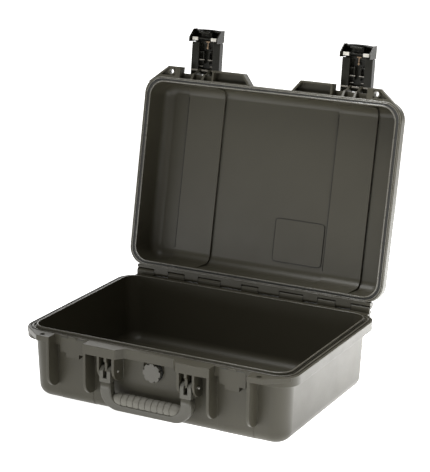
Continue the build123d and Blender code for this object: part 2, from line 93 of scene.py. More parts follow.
# Places of the sockets of a mix node that blends colours.
MIX_SHARE, MIX_FIRST, MIX_LAST, MIX_RESULT = 0, 6, 7, 2
AS_DRAWN = Matrix.Identity(4)
# Corners of each face of a block, where the corners count up in Z, then Y, then X.
BLOCK_FACES = ((0, 1, 3, 2), (4, 6, 7, 5), (0, 4, 5, 1), (2, 3, 7, 6), (0, 2, 6, 4), (1, 5, 7, 3))


class Side(Enum):
    """The two sides of the case, as the sign of X."""

    LEFT = -1
    RIGHT = 1

    @property
    def word(self) -> str:
        """The side's name as the frame's nodes spell it."""
        return self.name.lower()


# ---------------------------------------------------------------- finishes
class NodeSheet:
    """A material's node tree, with short calls that add and join nodes."""

    def __init__(self, name: str) -> None:
        """Start a material that holds one Principled shader.

        Args:
            name: The material's name.
        """
        self.material = bpy.data.materials.new(name)
        self.material.use_nodes = True
        self.tree = self.material.node_tree
        self.shader = self.tree.nodes["Principled BSDF"]
        self.where = self.add("ShaderNodeTexCoord").outputs["Object"]

    def add(self, kind: str, **values: object) -> bpy.types.Node:
        """Add a node and set its attributes.

        Args:
            kind: Blender's node type.
            **values: Attributes of the node.

        Returns:
            The new node.
        """
        node = self.tree.nodes.new(kind)
        for key, value in values.items():
            setattr(node, key, value)
        return node

    def join(self, source: Socket, target: Socket) -> None:
        """Link one socket to another."""
        self.tree.links.new(source, target)

    def noise(self, scale: float, detail: float = 3.0, rough: float = 0.55) -> Socket:
        """Add a noise texture in object space.

        Args:
            scale: Features per metre.
            detail: Octaves of finer noise.
            rough: Share of the finer octaves.

        Returns:
            The noise's factor socket.
        """
        node = self.add("ShaderNodeTexNoise")
        node.inputs["Scale"].default_value = scale
        node.inputs["Detail"].default_value = detail
        node.inputs["Roughness"].default_value = rough
        self.join(self.where, node.inputs["Vector"])
        return node.outputs["Fac"]

    def ramp(self, source: Socket, low: float, high: float,
             first: float = 0.0, last: float = 1.0) -> Socket:
        """Map a value from one range to another, clamped.

        Args:
            source: The value.
            low: Where the input range starts.
            high: Where the input range ends.
            first: The result at low.
            last: The result at high.

        Returns:
            The mapped value's socket.
        """
        node = self.add("ShaderNodeMapRange")
        limits = {"From Min": low, "From Max": high, "To Min": first, "To Max": last}
        for key, value in limits.items():
            node.inputs[key].default_value = value
        self.join(source, node.inputs["Value"])
        return node.outputs["Result"]

    def pattern(self, pattern: Pattern, first: float = 0.0, last: float = 1.0) -> Socket:
        """Add a noise texture and stretch the used part of its range."""
        return self.ramp(self.noise(pattern.per_metre, pattern.octaves), pattern.low, pattern.high,
                         first, last)

    def blend(self, share: Socket, first: Colour | Socket, last: Colour) -> Socket:
        """Lay a colour over another by a share.

        Args:
            share: 0 gives first, 1 gives last.
            first: The colour at 0, plain or from a socket.
            last: The colour at 1.

        Returns:
            The mixed colour's socket.
        """
        node = self.add("ShaderNodeMix", data_type="RGBA")
        node.inputs[MIX_LAST].default_value = (*last, 1.0)
        self.join(share, node.inputs[MIX_SHARE])
        if isinstance(first, tuple):
            node.inputs[MIX_FIRST].default_value = (*first, 1.0)
        else:
            self.join(first, node.inputs[MIX_FIRST])
        return node.outputs[MIX_RESULT]

    def relief(self, height: Socket, depth: float,
               under: Socket | None = None) -> Socket:
        """Turn a height into a surface normal.

        Args:
            height: The height, 0 to 1.
            depth: The real height in metres.
            under: A normal that the relief is laid over.

        Returns:
            The normal's socket.
        """
        node = self.add("ShaderNodeBump")
        node.inputs["Distance"].default_value = depth
        self.join(height, node.inputs["Height"])
        if under is not None:
            self.join(under, node.inputs["Normal"])
        return node.outputs["Normal"]


@dataclass(frozen=True)
class Pattern:
    """Noise in object space, and the part of its range that is used."""

    per_metre: float
    octaves: float
    low: float
    high: float


@dataclass(frozen=True)
class MouldedPlastic:
    """Injection-moulded plastic with a fine spark-eroded texture and rubbed edges."""

    name: str
    colour: Colour
    tint: Colour
    worn: Colour
    roughness: Point = (0.36, 0.46)
    grain_per_metre: float = 1500.0
    grain_depth: float = 0.00003
    wear_width: float = 0.0009
    wear_share: float = 0.5
    specular: float = 0.5
    cloud: Pattern = Pattern(9.0, 4.0, 0.35, 0.65)
    rub: Pattern = Pattern(60.0, 5.0, 0.35, 0.7)
    rub_least: float = 0.3
    sheen: Pattern = Pattern(35.0, 5.0, 0.3, 0.7)
    edge_turn: Point = (0.995, 0.80)
    bevel_samples: int = 4
    grain_octaves: float = 2.0
    pebble_octaves: float = 3.0
    pebble_scale: float = 0.32
    pebble_depth: float = 1.6

    def build(self) -> bpy.types.Material:
        """Make the material.

        Returns:
            The finished material.
        """
        sheet = NodeSheet(self.name)
        soft_edge = sheet.add("ShaderNodeBevel", samples=self.bevel_samples)
        soft_edge.inputs["Radius"].default_value = self.wear_width
        rounded = soft_edge.outputs["Normal"]
        colour = sheet.blend(sheet.pattern(self.cloud), self.colour, self.tint)
        colour = sheet.blend(self._wear(sheet, rounded), colour, self.worn)
        sheet.join(colour, sheet.shader.inputs["Base Color"])
        rough = sheet.pattern(self.sheen, *self.roughness)
        sheet.join(rough, sheet.shader.inputs["Roughness"])
        sheet.shader.inputs["Specular IOR Level"].default_value = self.specular
        grain = sheet.noise(self.grain_per_metre, self.grain_octaves)
        pebble = sheet.noise(self.grain_per_metre * self.pebble_scale, self.pebble_octaves)
        normal = sheet.relief(grain, self.grain_depth, rounded)
        normal = sheet.relief(pebble, self.grain_depth * self.pebble_depth, normal)
        sheet.join(normal, sheet.shader.inputs["Normal"])
        return sheet.material

    def _wear(self, sheet: NodeSheet, rounded: Socket) -> Socket:
        """Find how far each point is rubbed: patchily, and only along edges.

        Args:
            sheet: The material's node tree.
            rounded: The normal with its edges rounded.

        Returns:
            The wear's socket, 0 to wear_share.
        """
        plain = sheet.add("ShaderNodeNewGeometry").outputs["Normal"]
        turn = sheet.add("ShaderNodeVectorMath", operation="DOT_PRODUCT")
        sheet.join(rounded, turn.inputs[0])
        sheet.join(plain, turn.inputs[1])
        edge = sheet.ramp(turn.outputs["Value"], *self.edge_turn, 0.0, self.wear_share)
        patchy = sheet.add("ShaderNodeMath", operation="MULTIPLY")
        sheet.join(edge, patchy.inputs[0])
        sheet.join(sheet.pattern(self.rub, self.rub_least, 1.0), patchy.inputs[1])
        return patchy.outputs["Value"]


@dataclass(frozen=True)
class TurnedMetal:
    """Plain metal rod or strip with fine drawn lines and slight tarnish."""

    name: str
    colour: Colour
    tarnish: Colour
    roughness: Point = (0.22, 0.38)
    spots: Pattern = Pattern(240.0, 4.0, 0.4, 0.7)
    dull_from: float = 0.35
    lines_per_metre: float = 2600.0
    lines_octaves: float = 2.0
    lines_depth: float = 0.00001

    def build(self) -> bpy.types.Material:
        """Make the material.

        Returns:
            The finished material.
        """
        sheet = NodeSheet(self.name)
        spots = sheet.noise(self.spots.per_metre, self.spots.octaves)
        lines = sheet.noise(self.lines_per_metre, self.lines_octaves)
        dulled = sheet.ramp(spots, self.spots.low, self.spots.high)
        rough = sheet.ramp(spots, self.dull_from, self.spots.high, *self.roughness)
        colour = sheet.blend(dulled, self.colour, self.tarnish)
        sheet.join(colour, sheet.shader.inputs["Base Color"])
        sheet.join(rough, sheet.shader.inputs["Roughness"])
        sheet.shader.inputs["Metallic"].default_value = 1.0
        sheet.join(sheet.relief(lines, self.lines_depth), sheet.shader.inputs["Normal"])
        return sheet.material


class Finish(Enum):
    """The finishes of the case: a slot of the record, and which look of that slot it is."""

    SHELL = ("shell_plastic", "main")
    LATCH = ("latch_plastic", "main")
    GRIP = ("handle_rubber", "main")
    FORK = ("handle_plastic", "main")
    # Near-black rubber of the seal, also used as painted shade in the catch plates' slots.
    SEAL = ("seal_rubber", "main")
    STEEL = ("pin_steel", "main")
    BRONZE = ("spring_bronze", "main")
    VALVE = ("valve_plastic", "main")
    MEMBRANE = ("membrane_fabric", "main")
    LABEL = ("label_plastic", "main")
    SHADOW = ("shell_plastic", "shadow")
    # Lighter copy of the latch plastic: painted highlight on the latch's lips and ribs.
    EDGE = ("latch_plastic", "edge")
    # Lighter, glossier copy of the shell plastic: painted highlight on the rim beads.
    LIP = ("shell_plastic", "lip")
    GLINT = ("latch_plastic", "glint")

    @property
    def slot(self) -> str:
        """The material slot that the finish belongs to."""
        return self.value[0]

    @classmethod
    def main_of(cls, slot: str) -> Finish:
        """The main finish of a slot."""
        return cls((slot, "main"))


RECIPES: dict[Finish, MouldedPlastic | TurnedMetal] = {
    Finish.SHELL: MouldedPlastic(
        "shell", (0.055, 0.051, 0.036), (0.051, 0.047, 0.033), (0.14, 0.13, 0.10),
        roughness=(0.38, 0.43), specular=0.32),
    # Painted highlight: the shell plastic made lighter and glossier for the rim beads.
    Finish.LIP: MouldedPlastic(
        "lip", (0.120, 0.115, 0.095), (0.105, 0.100, 0.083), (0.25, 0.24, 0.20),
        roughness=(0.24, 0.32), grain_depth=0.000005, specular=0.9),
    Finish.GLINT: MouldedPlastic(
        "glint", (0.62, 0.60, 0.54), (0.50, 0.48, 0.43), (0.7, 0.68, 0.62),
        roughness=(0.2, 0.3), grain_depth=0.000005),
    # Painted highlight: the latch plastic made far lighter for its lips and ribs.
    Finish.EDGE: MouldedPlastic(
        "edge", (0.30, 0.28, 0.24), (0.24, 0.22, 0.19), (0.4, 0.38, 0.33),
        roughness=(0.25, 0.35), grain_depth=0.000008),
    Finish.LATCH: MouldedPlastic(
        "latch", (0.010, 0.010, 0.007), (0.013, 0.013, 0.009), (0.10, 0.09, 0.07),
        roughness=(0.16, 0.24), grain_depth=0.000008, specular=0.3),
    Finish.SHADOW: MouldedPlastic(
        "shadow", (0.010, 0.010, 0.008), (0.014, 0.013, 0.011), (0.02, 0.02, 0.016),
        roughness=(0.5, 0.6)),
    Finish.GRIP: MouldedPlastic(
        "grip", (0.15, 0.145, 0.122), (0.132, 0.127, 0.108), (0.24, 0.23, 0.20),
        roughness=(0.55, 0.68), grain_per_metre=2200.0),
    Finish.FORK: MouldedPlastic(
        "fork", (0.066, 0.063, 0.049), (0.060, 0.057, 0.044), (0.20, 0.19, 0.17),
        roughness=(0.34, 0.42)),
    # Near-black rubber of the seal, also used as painted shade in the catch plates' slots.
    Finish.SEAL: MouldedPlastic(
        "seal", (0.018, 0.018, 0.017), (0.024, 0.024, 0.022), (0.06, 0.06, 0.055),
        roughness=(0.55, 0.7), grain_depth=0.00001),
    Finish.STEEL: TurnedMetal("steel", (0.66, 0.65, 0.62), (0.46, 0.44, 0.40)),
    Finish.BRONZE: TurnedMetal("bronze", (0.30, 0.22, 0.15), (0.20, 0.14, 0.09)),
    Finish.VALVE: MouldedPlastic(
        "valve", (0.098, 0.094, 0.080), (0.088, 0.084, 0.072), (0.20, 0.19, 0.17),
        roughness=(0.45, 0.55), grain_per_metre=1900.0, grain_depth=0.00005),
    Finish.MEMBRANE: MouldedPlastic(
        "membrane", (0.70, 0.70, 0.67), (0.62, 0.62, 0.60), (0.75, 0.75, 0.72),
        roughness=(0.8, 0.9)),
    Finish.LABEL: MouldedPlastic(
        "label", (0.045, 0.042, 0.036), (0.040, 0.037, 0.032), (0.12, 0.11, 0.10),
        roughness=(0.25, 0.35), grain_depth=0.000015),
}


class Paintbox:
    """Makes each finish once and hands it out."""

    def __init__(self) -> None:
        """Start with no material made."""
        self._made: dict[Finish, bpy.types.Material] = {}

    def get(self, finish: Finish) -> bpy.types.Material:
        """Give the material of a finish, made on first use.

        Args:
            finish: The finish.

        Returns:
            Its material.
        """
        if finish not in self._made:
            self._made[finish] = RECIPES[finish].build()
        return self._made[finish]

    def dress(self, piece: bpy.types.Object, finish: Finish) -> None:
        """Give a piece one finish on all its faces.

        Args:
            piece: The mesh object.
            finish: The finish.
        """
        piece.data.materials.clear()
        piece.data.materials.append(self.get(finish))


# ---------------------------------------------------------------- mesh tools
def new_piece(name: str, mesh: bmesh.types.BMesh, place: Matrix = AS_DRAWN) -> bpy.types.Object:
    """Turn a bmesh in millimetres into a smooth object in metres.

    Args:
        name: The piece's name.
        mesh: The mesh, which is freed.
        place: A move or turn in millimetres that puts it in the row.

    Returns:
        The new object, at the origin.
    """
    bmesh.ops.recalc_face_normals(mesh, faces=mesh.faces)
    mesh.transform(Matrix.Scale(MM, 4) @ place)
    data = bpy.data.meshes.new(name)
    mesh.to_mesh(data)
    mesh.free()
    data.shade_smooth()
    piece = bpy.data.objects.new(name, data)
    bpy.context.scene.collection.objects.link(piece)
    return piece


def arc(centre: Point, radius: float, start: float, end: float, steps: int) -> list[Point]:
    """Points on a circular arc.

    Args:
        centre: The arc's centre.
        radius: Its radius.
        start: Its first angle in degrees.
        end: Its last angle in degrees.
        steps: How many spans it is cut into.

    Returns:
        The points, both ends included.
    """
    angles = [math.radians(start + (end - start) * step / steps) for step in range(steps + 1)]
    return [(centre[0] + radius * math.cos(a), centre[1] + radius * math.sin(a)) for a in angles]


def circle(centre: Point, radius: float, sides: int) -> list[Point]:
    """Points spaced evenly round a circle, each given once."""
    return arc(centre, radius, 0, 360 - 360 / sides, sides - 1)


def rounded_loop(half: Point, corner: float, steps: int = 10) -> list[Point]:
    """Closed outline of a rectangle with rounded corners, anticlockwise.

    Args:
        half: Half of its width and height.
        corner: The corners' radius.
        steps: Spans in each corner.

    Returns:
        The outline's points.
    """
    points: list[Point] = []
    for quarter, (sx, sy) in enumerate(((1, 1), (-1, 1), (-1, -1), (1, -1))):
        centre = (sx * (half[0] - corner), sy * (half[1] - corner))
        points += arc(centre, corner, 90 * quarter, 90 * quarter + 90, steps)
    return points


def skin(rings: list[list[Vector]], closed: bool) -> bmesh.types.BMesh:
    """Join rings of equal length into one tube.

    Args:
        rings: The rings, in order, each a closed loop of points.
        closed: Whether the last ring joins the first; if not, both ends are capped.

    Returns:
        The new mesh.
    """
    mesh = bmesh.new()
    rows = [[mesh.verts.new(point) for point in ring] for ring in rings]
    count = len(rows[0])
    pairs = list(zip(rows, rows[1:])) + ([(rows[-1], rows[0])] if closed else [])
    for low, high in pairs:
        for i in range(count):
            j = (i + 1) % count
            mesh.faces.new((low[i], low[j], high[j], high[i]))
    if not closed:
        mesh.faces.new(list(reversed(rows[0])))
        mesh.faces.new(rows[-1])
    return mesh


def bead(path: list[Vector], across: float, high: float, closed: bool,
         sides: int = 8) -> bmesh.types.BMesh:
    """Oval cord of constant section along a path.

    Args:
        path: Points that its middle follows.
        across: Half of its width, measured in the XY plane.
        high: Half of its height, measured along Z.
        closed: Whether the path is a loop.
        sides: Points round the section.

    Returns:
        The new mesh.
    """
    rings: list[list[Vector]] = []
    count = len(path)
    for index, point in enumerate(path):
        before = path[index - 1] if closed or index else point
        after = path[(index + 1) % count] if closed or index + 1 < count else point
        run = (after - before).normalized()
        side = run.cross(Vector((0, 0, 1))).normalized()
        lift = side.cross(run)
        turns = [2 * math.pi * k / sides for k in range(sides)]
        rings.append([point + side * (across * math.cos(a)) + lift * (high * math.sin(a))
                      for a in turns])
    return skin(rings, closed)


def pad(low: Corner, high: Corner, bevel: float, spans: int = 3) -> bmesh.types.BMesh:
    """Block between two corners with all its edges rounded.

    Args:
        low: The lowest corner.
        high: The highest corner.
        bevel: The edges' radius.
        spans: Spans across each rounded edge.

    Returns:
        The new mesh.
    """
    mesh = bmesh.new()
    corners = [mesh.verts.new((x, y, z)) for x in (low[0], high[0])
               for y in (low[1], high[1]) for z in (low[2], high[2])]
    for face in BLOCK_FACES:
        mesh.faces.new([corners[i] for i in face])
    bmesh.ops.bevel(mesh, geom=mesh.edges[:], offset=bevel, segments=spans, profile=0.5,
                    affect="EDGES")
    return mesh


def merge(parts: list[bmesh.types.BMesh]) -> bmesh.types.BMesh:
    """Put several meshes into one.

    Args:
        parts: The meshes, which are freed.

    Returns:
        The new mesh.
    """
    whole = bmesh.new()
    for part in parts:
        data = bpy.data.meshes.new("part")
        part.to_mesh(data)
        part.free()
        whole.from_mesh(data)
        bpy.data.meshes.remove(data)
    return whole


# ---------------------------------------------------------------- studio
@dataclass(frozen=True)
class SoftLamp:
    """Rectangular lamp that faces the case from one side."""

    name: str
    place: Corner
    size: Point
    radiance: float

    def build(self, target: Vector) -> None:
        """Add the lamp.

        Args:
            target: The point that it faces.
        """
        light = bpy.data.lights.new(self.name, "AREA")
        light.shape = "RECTANGLE"
        light.size, light.size_y = self.size
        light.energy = self.radiance * math.pi * self.size[0] * self.size[1]
        lamp = bpy.data.objects.new(self.name, light)
        place = Vector(self.place)
        level_aim = Vector((*target.xy, place.z)) - place
        turn = level_aim.to_track_quat("-Z", "Y").to_matrix().to_4x4()
        lamp.matrix_world = Matrix.Translation(place) @ turn
        lamp.visible_camera = False
        bpy.context.scene.collection.objects.link(lamp)


@dataclass(frozen=True)
class Pool:
    """Round patch of floor that glows more than the rest."""

    middle: Point
    reach: float
    glow: float


@dataclass
class Studio:
    """Pale floor, soft lamps, surroundings and the camera."""

    middle: Vector
    aim_offset: Vector = field(default_factory=lambda: Vector((0.0161, -0.0402, -0.0090)))
    azimuth: float = math.radians(27.62)
    elevation: float = math.radians(16.36)
    roll: float = math.radians(0.657)
    distance: float = 2.6345
    lens: float = 130.8
    sight: float = 100.0
    floor_size: float = 30.0
    floor_colours: tuple[Colour, Colour] = ((0.78, 0.78, 0.77), (0.82, 0.82, 0.81))
    floor_cloud: float = 2.0
    floor_roughness: float = 0.9
    floor_glow: float = 1.0
    pools: tuple[Pool, ...] = (Pool((0.62, 0.55), 0.95, 7.0), Pool((-0.75, 0.15), 0.6, 4.0))
    room_glow: float = 0.22
    room_colour: Colour = (1.0, 0.96, 0.87)
    lamps: tuple[SoftLamp, ...] = (
        SoftLamp("back_lamp", (-1.5, 3.2, 0.95), (4.5, 1.5), 2.5),
        SoftLamp("front_lamp", (-0.8, -1.4, 0.12), (1.5, 0.24), 6.0),
        SoftLamp("top_lamp", (-0.3, 0.1, 2.3), (2.4, 1.4), 26.0),
    )

    def build(self) -> None:
        """Make the floor, the lamps, the surroundings and the camera."""
        self._floor()
        self._surroundings()
        for lamp in self.lamps:
            lamp.build(self.middle)
        self._camera()

    def _floor(self) -> None:
        """Make the pale floor, bright enough to read as white."""
        mesh = bpy.data.meshes.new("floor")
        half = self.floor_size / 2
        corners = [(-half, -half, 0), (half, -half, 0), (half, half, 0), (-half, half, 0)]
        mesh.from_pydata(corners, [], [(0, 1, 2, 3)])
        floor = bpy.data.objects.new("floor", mesh)
        bpy.context.scene.collection.objects.link(floor)
        sheet = NodeSheet("floor")
        colour = sheet.blend(sheet.noise(self.floor_cloud), *self.floor_colours)
        sheet.join(colour, sheet.shader.inputs["Base Color"])
        sheet.shader.inputs["Roughness"].default_value = self.floor_roughness
        sheet.shader.inputs["Emission Color"].default_value = (1.0, 1.0, 1.0, 1.0)
        sheet.join(self._floor_glow(sheet), sheet.shader.inputs["Emission Strength"])
        mesh.materials.append(sheet.material)
        floor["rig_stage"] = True

    def _floor_glow(self, sheet: NodeSheet) -> Socket:
        """Glow of the floor: even, and brighter in the pools beside the case.

        Args:
            sheet: The floor's material.

        Returns:
            The strength's socket.
        """
        total = None
        for pool in self.pools:
            reach = sheet.add("ShaderNodeVectorMath", operation="DISTANCE")
            reach.inputs[1].default_value = (*pool.middle, 0.0)
            sheet.join(sheet.where, reach.inputs[0])
            glow = sheet.ramp(reach.outputs["Value"], 0.0, pool.reach,
                              pool.glow, self.floor_glow)
            if total is None:
                total = glow
                continue
            brightest = sheet.add("ShaderNodeMath", operation="MAXIMUM")
            sheet.join(total, brightest.inputs[0])
            sheet.join(glow, brightest.inputs[1])
            total = brightest.outputs["Value"]
        return total

    def _surroundings(self) -> None:
        """Light the scene dimly and evenly from all round."""
        world = bpy.data.worlds.new("studio")
        world.use_nodes = True
        background = world.node_tree.nodes["Background"]
        background.inputs["Color"].default_value = (*self.room_colour, 1.0)
        background.inputs["Strength"].default_value = self.room_glow
        bpy.context.scene.world = world

    def _camera(self) -> None:
        """Place the camera by its angles round the aim point."""
        across = Vector((math.cos(self.azimuth), math.sin(self.azimuth), 0.0))
        back = Vector((math.sin(self.azimuth) * math.cos(self.elevation),
                       -math.cos(self.azimuth) * math.cos(self.elevation),
                       math.sin(self.elevation)))
        upright = back.cross(across)
        right = across * math.cos(self.roll) + upright * math.sin(self.roll)
        up = upright * math.cos(self.roll) - across * math.sin(self.roll)
        place = self.middle + self.aim_offset + back * self.distance
        lens = bpy.data.cameras.new("camera")
        lens.lens = self.lens
        lens.clip_end = self.sight
        camera = bpy.data.objects.new("camera", lens)
        turn = Matrix((right, up, back)).transposed().to_4x4()
        camera.matrix_world = Matrix.Translation(place) @ turn
        bpy.context.scene.collection.objects.link(camera)
        bpy.context.scene.camera = camera


# ---------------------------------------------------------------- case
@dataclass
class CaseBody:
    """The carried-over frame pieces and their finishes."""

    nodes: dict[str, bpy.types.Object]
    record: dict
    paint: Paintbox

    def dress(self) -> None:
        """Give every frame piece the finish of its slot."""
        slots = {entry["node"]: entry["material_slot"] for entry in self.record["subparts"]}
        for name, piece in self.nodes.items():
            self.paint.dress(piece, Finish.main_of(slots[name]))
            LOG.info("dressed %s as %s", name, slots[name])


@dataclass(frozen=True)
class Rim:
    """The mouth that both halves share, in millimetres, from its inner to its outer edge."""

    inner: Point = (215.6, 148.1)
    outer: Point = (231.0, 160.0)
    inner_corner: float = 22.6
    outer_corner: float = 30.0
    parting: float = 112.0
    gap: float = 0.4

    def line(self, share: float, z: float) -> list[Vector]:
        """Loop round the mouth.

        Args:
            share: 0 is the inner edge, 1 is the flange's edge.
            z: The loop's height.

        Returns:
            The loop's points.
        """
        half = tuple(a + share * (b - a) for a, b in zip(self.inner, self.outer))
        corner = self.inner_corner + share * (self.outer_corner - self.inner_corner)
        return [Vector((x, y, z)) for x, y in rounded_loop(half, corner)]


@dataclass(frozen=True)
class Hinge:
    """Where the lid turns, in millimetres, and how far it stands open."""

    y: float = 170.0
    z: float = 117.5
    opening: float = 101.07

    def opened(self) -> Matrix:
        """Matrix that swings a piece drawn on the closed lid open with it."""
        axis = Matrix.Translation((0, self.y, self.z))
        return axis @ Matrix.Rotation(math.radians(-self.opening), 4, "X") @ axis.inverted()


@dataclass
class Trim:
    """Fine pieces that are made, painted and given to a moving body."""

    paint: Paintbox

    def fit(self, name: str, mesh: bmesh.types.BMesh, body: str, finish: Finish,
            place: Matrix = AS_DRAWN) -> bpy.types.Object:
        """Make one piece, let it ride on a body and paint it.

        Args:
            name: The piece's name.
            mesh: Its mesh in millimetres, which is freed.
            body: The body that it moves with.
            finish: Its finish.
            place: A move or turn in millimetres that puts it in the row.

        Returns:
            The new piece.
        """
        piece = new_piece(name, mesh, place)
        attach(piece, body)
        self.paint.dress(piece, finish)
        LOG.info("built %s", name)
        return piece


@dataclass
class BaseTrim(Trim):
    """Fine moulded beads and pads on the base: a painted highlight on the beads, and painted shade
    in the catch plates' slots.
    """

    rim: Rim = Rim()
    tongue_line: float = 0.09
    tongue_top: float = 114.7
    tongue_size: Point = (0.9, 0.55)
    ridge_line: float = 0.53
    ridge_drop: float = 0.1
    ridge_size: Point = (0.7, 0.35)
    latch_centre: float = 136.3
    catch_front: float = -160.5
    keeper_half: float = 6.5
    keeper_y: Point = (-0.5, 3.0)
    keeper_z: Point = (-3.0, 0.08)
    keeper_bevel: float = 0.4
    slot_places: Point = (-14.0, 14.0)
    slot_half: float = 5.5
    slot_y: Point = (-0.12, 1.0)
    slot_z: Point = (-2.4, -1.2)
    slot_bevel: float = 0.1

    def build(self) -> None:
        """Make the rim's beads, painted lighter as a highlight, and the pads of both catch plates.
        """
        # Both beads are painted lighter than the shell: a painted highlight along the rim.
        tongue = self.rim.line(self.tongue_line, self.tongue_top)
        self.fit("tongue_bead", bead(tongue, *self.tongue_size, closed=True), "base", Finish.LIP)
        ridge = self.rim.line(self.ridge_line, self.rim.parting - self.ridge_drop)
        self.fit("ridge_bead", bead(ridge, *self.ridge_size, closed=True), "base", Finish.LIP)
        for side in Side:
            self._catch(side)

    def _catch(self, side: Side) -> None:
        """Make the keeper pad and the painted shade in the two slots of one catch plate.

        Args:
            side: The side of the case that the plate is on.
        """
        x = side.value * self.latch_centre
        keeper = self._block(x, self.keeper_half, self.keeper_y, self.keeper_z, self.keeper_bevel)
        self.fit(f"keeper_{side.word}", keeper, "base", Finish.SHELL)
        slots = [self._block(x + shift, self.slot_half, self.slot_y, self.slot_z, self.slot_bevel)
                 for shift in self.slot_places]
        # Near-black pads barely proud of the plate: painted shade of the two slots.
        self.fit(f"catch_slots_{side.word}", merge(slots), "base", Finish.SEAL)

    def _block(self, x: float, half: float, deep: Point, high: Point,
               bevel: float) -> bmesh.types.BMesh:
        """Rounded block on a catch plate.

        Args:
            x: Its middle.
            half: Half of its length.
            deep: Its first and last Y, from the plate's front.
            high: Its lowest and highest Z, from the parting.
            bevel: The edges' radius.

        Returns:
            The new mesh.
        """
        front, top = self.catch_front, self.rim.parting
        return pad((x - half, front + deep[0], top + high[0]),
                   (x + half, front + deep[1], top + high[1]), bevel)


@dataclass
class LidTrim(Trim):
    """Fine moulded beads with a painted highlight on the lid, and lines of painted shade beside
    its bands and round its label, drawn closed and swung open.
    """

    rim: Rim = Rim()
    hinge: Hinge = Hinge()
    bead_lines: tuple[float, ...] = (0.31, 0.37, 0.725, 0.90)
    bead_rise: float = 0.25
    bead_size: Point = (0.8, 0.5)
    bands: Point = (104.0, 171.5)
    crown: float = 166.1
    band_depth: float = 4.0
    band_ends: Point = (-128.0, 128.0)
    line_shift: float = 0.3
    line_size: Point = (0.6, 0.45)
    line_spans: int = 12
    label_middle: Point = (54.5, 88.5)
    label_half: Point = (44.3, 35.8)
    label_corner: float = 6.2
    label_rise: float = 1.0
    label_line: Point = (0.55, 0.3)

    def build(self) -> None:
        """Make the sealing beads with their painted highlight, and the painted shade of the lines
        beside the bands and of the label's edge.
        """
        down = self.rim.parting + self.rim.gap + self.bead_rise
        rings = [bead(self.rim.line(share, down), *self.bead_size, closed=True)
                 for share in self.bead_lines]
        lines = [self._band_line(x, z) for x, z in self._band_edges()]
        # Near-black cord of painted shade round the label panel's edge.
        x0, y0 = self.label_middle
        edge = [Vector((x0 + x, y0 + y, self.crown - self.label_rise))
                for x, y in rounded_loop(self.label_half, self.label_corner)]
        border = bead(edge, *self.label_line, closed=True)
        opened = self.hinge.opened()
        # The lid's beads are painted lighter than the shell: a painted highlight.
        self.fit("lid_beads", merge(rings), "lid", Finish.LIP, opened)
        # Near-black lines of painted shade along the steps of the bands.
        self.fit("band_lines", merge(lines), "lid", Finish.SHADOW, opened)
        self.fit("label_edge", border, "lid", Finish.SHADOW, opened)

    def _band_edges(self) -> list[Point]:
        """Find where the line of painted shade beside each band runs: in the corner, or on the
        band's edge.

        Returns:
            X and Z of each line.
        """
        foot, crest = self.crown, self.crown - self.band_depth
        inner, outer = self.bands
        return [(-outer, crest), (self.line_shift - inner, foot),
                (inner, crest), (outer + self.line_shift, foot)]

    def _band_line(self, x: float, z: float) -> bmesh.types.BMesh:
        """Line of painted shade along one side of a band.

        Args:
            x: Its X.
            z: Its Z.

        Returns:
            The new mesh.
        """
        low, high = self.band_ends
        path = [Vector((x, low + (high - low) * step / self.line_spans, z))
                for step in range(self.line_spans + 1)]
        return bead(path, *self.line_size, closed=False)


@dataclass
class HingeTrim(Trim):
    """Painted shade in the seams where the knuckles of both halves meet."""

    hinge: Hinge = Hinge()
    joints: tuple[float, ...] = (15.4, 53.9, 96.0, 121.8, 153.3, 180.3)
    radius: float = 5.35
    seam: float = 0.7
    sides: int = 36

    def build(self) -> None:
        """Make the painted shade of the seams round the barrel."""
        rings = [self._ring(sign * x) for x in self.joints for sign in (-1, 1)]
        # Thin near-black discs: painted shade in the gaps between the knuckles.
        self.fit("hinge_seams", merge(rings), "base", Finish.SHADOW)

    def _ring(self, x: float) -> bmesh.types.BMesh:
        """Thin disc of painted shade that shows as a dark ring round the barrel.

        Args:
            x: Its middle.

        Returns:
            The new mesh.
        """
        loop = circle((self.hinge.y, self.hinge.z), self.radius, self.sides)
        return skin([[Vector((x + shift, y, z)) for y, z in loop]
                     for shift in (-self.seam, self.seam)], closed=False)


